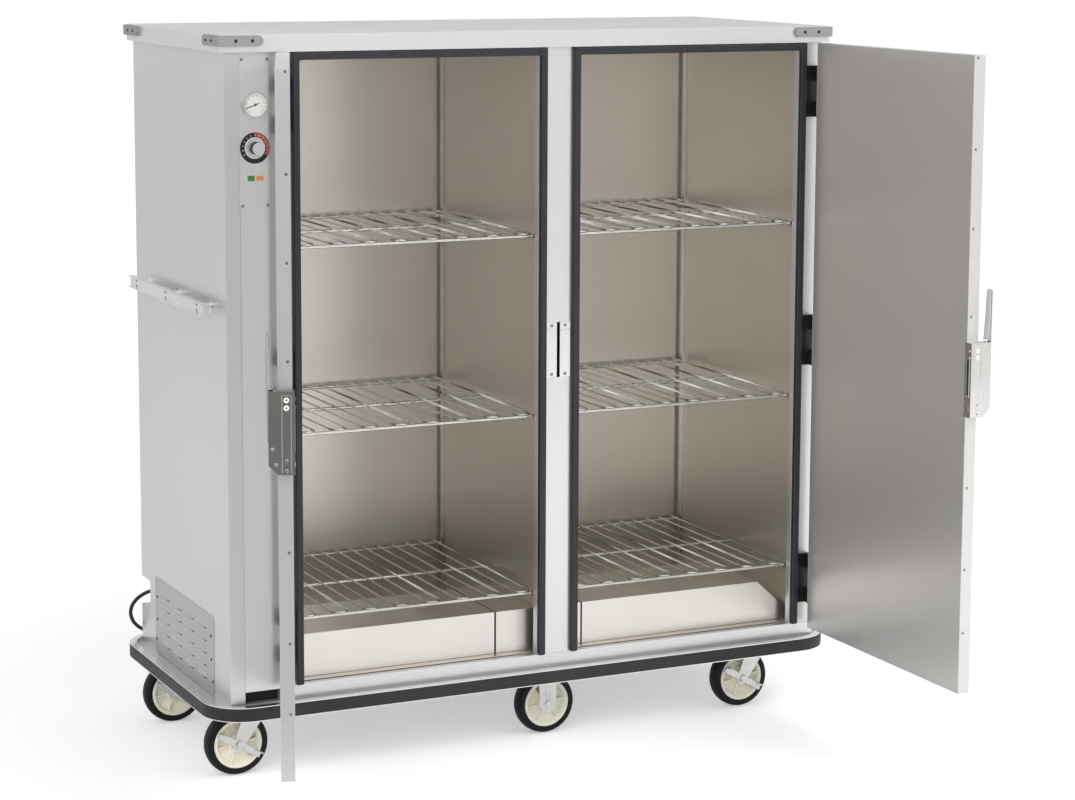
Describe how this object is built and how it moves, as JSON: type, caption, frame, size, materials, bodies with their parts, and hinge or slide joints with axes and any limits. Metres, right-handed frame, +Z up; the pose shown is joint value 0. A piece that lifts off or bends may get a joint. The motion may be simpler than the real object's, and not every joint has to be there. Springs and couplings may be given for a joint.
{
  "type": "hot cupboard",
  "caption": "Tall insulated hot cupboard on casters with hinged double doors, wire shelves, a heated floor duct and a control column with thermostat and thermometer.",
  "frame": {"origin": "middle of the base's footprint, on the floor", "axes": "+X to the right along the front, +Y from the front to the back, +Z up"},
  "size_m": [1.7452, 1.7218, 1.73],
  "materials": {
    "stainless": "brushed, bright",
    "vent_steel": "matt",
    "zinc": "bright zinc plated",
    "aluminium": "satin extrusion",
    "bumper": "matt dark grey vinyl",
    "corner": "matt grey moulded",
    "gasket": "satin dark grey",
    "insulation": "glass fibre batt",
    "black_plastic": "satin black",
    "knob_metal": "turned, satin",
    "green_lens": "gloss translucent green",
    "hinge_black": "satin black",
    "heater": "dull sheathed tube",
    "cord": "satin jacket",
    "wheel": "cream moulded hub, black tyre"
  },
  "bodies": {
    "cabinet": {"base_frame": "stainless", "bumper_channel": "aluminium", "bumper_strip": "bumper", "side_panel_left": "stainless", "side_panel_right": "stainless", "back_panel": "stainless", "top_cap": "stainless", "liner": "stainless", "insulation": "insulation", "face_frame": "stainless", "mullion": "stainless", "column_panel": "stainless", "control_plate": "stainless", "cabinet_screws": "stainless", "thermometer_case": "stainless", "thermostat": "black_plastic", "switch_housing": "black_plastic", "heater_covers": "stainless", "heater_elements": "heater", "shelves": "stainless", "shelf_supports": "stainless", "door_gaskets": "gasket", "strike_plates": "stainless", "corner_bumpers": "corner", "louvre_panel": "vent_steel", "push_rails": "aluminium", "cord_gland": "black_plastic", "cord_tube": "cord", "cord_coil": "cord", "cord_tie": "black_plastic", "cord_plug": "cord", "caster_mounts": "zinc", "hinge_frame_leaves": "hinge_black"},
    "door_left": {"door_left_skin": "stainless", "door_left_fill": "insulation", "hinge_leaves_left": "stainless", "latch_case_left": "stainless"},
    "lever_left": {"latch_lever_left": "stainless"},
    "door_right": {"door_right_skin": "stainless", "door_right_fill": "insulation", "hinge_leaves_right": "stainless", "latch_case_right": "stainless"},
    "lever_right": {"latch_lever_right": "stainless"},
    "needle": {"thermometer_needle": "hinge_black"},
    "knob": {"thermostat_knob": "knob_metal"},
    "rocker": {"power_rocker": "green_lens"},
    "swivel_fl": {"caster_fork_fl": "zinc"},
    "brake_fl": {"brake_pedal_fl": "zinc"},
    "wheel_fl": {"wheel_fl": "wheel"},
    "swivel_fr": {"caster_fork_fr": "zinc"},
    "brake_fr": {"brake_pedal_fr": "zinc"},
    "wheel_fr": {"wheel_fr": "wheel"},
    "swivel_bl": {"caster_fork_bl": "zinc"},
    "brake_bl": {"brake_pedal_bl": "zinc"},
    "wheel_bl": {"wheel_bl": "wheel"},
    "swivel_br": {"caster_fork_br": "zinc"},
    "brake_br": {"brake_pedal_br": "zinc"},
    "wheel_br": {"wheel_br": "wheel"},
    "wheel_rigid_front": {"wheel_rigid_front": "wheel"},
    "wheel_rigid_back": {"wheel_rigid_back": "wheel"}
  },
  "joints": [
    {"name": "door_left_hinge", "type": "hinge", "parent": "cabinet", "child": "door_left", "pos_m": [-0.6457, -0.3623, 0.956], "axis": [0, 0, -1], "range_deg": [-110.4, 34.6]},
    {"name": "lever_left_pull", "type": "hinge", "parent": "door_left", "child": "lever_left", "pos_m": [-0.90926, -0.99352, 0.943], "axis": [-0.3486, -0.9373, 0], "range_deg": [0, 30], "stiffness_Nm_per_rad": 0.5, "springref_deg": -11.46},
    {"name": "door_right_hinge", "type": "hinge", "parent": "cabinet", "child": "door_right", "pos_m": [0.7557, -0.3623, 0.956], "axis": [0, 0, 1], "range_deg": [-90.3, 54.7]},
    {"name": "lever_right_pull", "type": "hinge", "parent": "door_right", "child": "lever_right", "pos_m": [0.78628, -1.04565, 0.943], "axis": [-0.0052, 1, 0], "range_deg": [0, 30], "stiffness_Nm_per_rad": 0.5, "springref_deg": -11.46},
    {"name": "needle_turn", "type": "hinge", "parent": "cabinet", "child": "needle", "pos_m": [-0.70472, -0.3365, 1.573], "axis": [0, 1, 0], "range_deg": [-25, 245], "stiffness_Nm_per_rad": 0.001},
    {"name": "knob_turn", "type": "hinge", "parent": "cabinet", "child": "knob", "pos_m": [-0.70472, -0.3365, 1.476], "axis": [0, 1, 0], "range_deg": [0, 280]},
    {"name": "rocker_tip", "type": "hinge", "parent": "cabinet", "child": "rocker", "pos_m": [-0.71472, -0.3315, 1.408], "axis": [1, 0, 0], "range_deg": [-5, 5]},
    {"name": "swivel_fl_turn", "type": "hinge", "parent": "cabinet", "child": "swivel_fl", "pos_m": [-0.675, -0.235, 0.17], "axis": [0, 0, 1], "continuous": true},
    {"name": "brake_fl_press", "type": "hinge", "parent": "swivel_fl", "child": "brake_fl", "pos_m": [-0.731, -0.235, 0.076], "axis": [0, 1, 0], "range_deg": [-30, 0]},
    {"name": "wheel_fl_roll", "type": "hinge", "parent": "swivel_fl", "child": "wheel_fl", "pos_m": [-0.731, -0.235, 0.076], "axis": [0, 1, 0], "continuous": true},
    {"name": "swivel_fr_turn", "type": "hinge", "parent": "cabinet", "child": "swivel_fr", "pos_m": [0.675, -0.235, 0.17], "axis": [0, 0, 1], "continuous": true},
    {"name": "brake_fr_press", "type": "hinge", "parent": "swivel_fr", "child": "brake_fr", "pos_m": [0.619, -0.235, 0.076], "axis": [0, 1, 0], "range_deg": [-30, 0]},
    {"name": "wheel_fr_roll", "type": "hinge", "parent": "swivel_fr", "child": "wheel_fr", "pos_m": [0.619, -0.235, 0.076], "axis": [0, 1, 0], "continuous": true},
    {"name": "swivel_bl_turn", "type": "hinge", "parent": "cabinet", "child": "swivel_bl", "pos_m": [-0.675, 0.235, 0.17], "axis": [0, 0, 1], "continuous": true},
    {"name": "brake_bl_press", "type": "hinge", "parent": "swivel_bl", "child": "brake_bl", "pos_m": [-0.731, 0.235, 0.076], "axis": [0, 1, 0], "range_deg": [-30, 0]},
    {"name": "wheel_bl_roll", "type": "hinge", "parent": "swivel_bl", "child": "wheel_bl", "pos_m": [-0.731, 0.235, 0.076], "axis": [0, 1, 0], "continuous": true},
    {"name": "swivel_br_turn", "type": "hinge", "parent": "cabinet", "child": "swivel_br", "pos_m": [0.675, 0.235, 0.17], "axis": [0, 0, 1], "continuous": true},
    {"name": "brake_br_press", "type": "hinge", "parent": "swivel_br", "child": "brake_br", "pos_m": [0.619, 0.235, 0.076], "axis": [0, 1, 0], "range_deg": [-30, 0]},
    {"name": "wheel_br_roll", "type": "hinge", "parent": "swivel_br", "child": "wheel_br", "pos_m": [0.619, 0.235, 0.076], "axis": [0, 1, 0], "continuous": true},
    {"name": "wheel_rigid_front_roll", "type": "hinge", "parent": "cabinet", "child": "wheel_rigid_front", "pos_m": [0.069, -0.235, 0.076], "axis": [0, 1, 0], "continuous": true},
    {"name": "wheel_rigid_back_roll", "type": "hinge", "parent": "cabinet", "child": "wheel_rigid_back", "pos_m": [0.069, 0.235, 0.076], "axis": [0, 1, 0], "continuous": true}
  ]
}
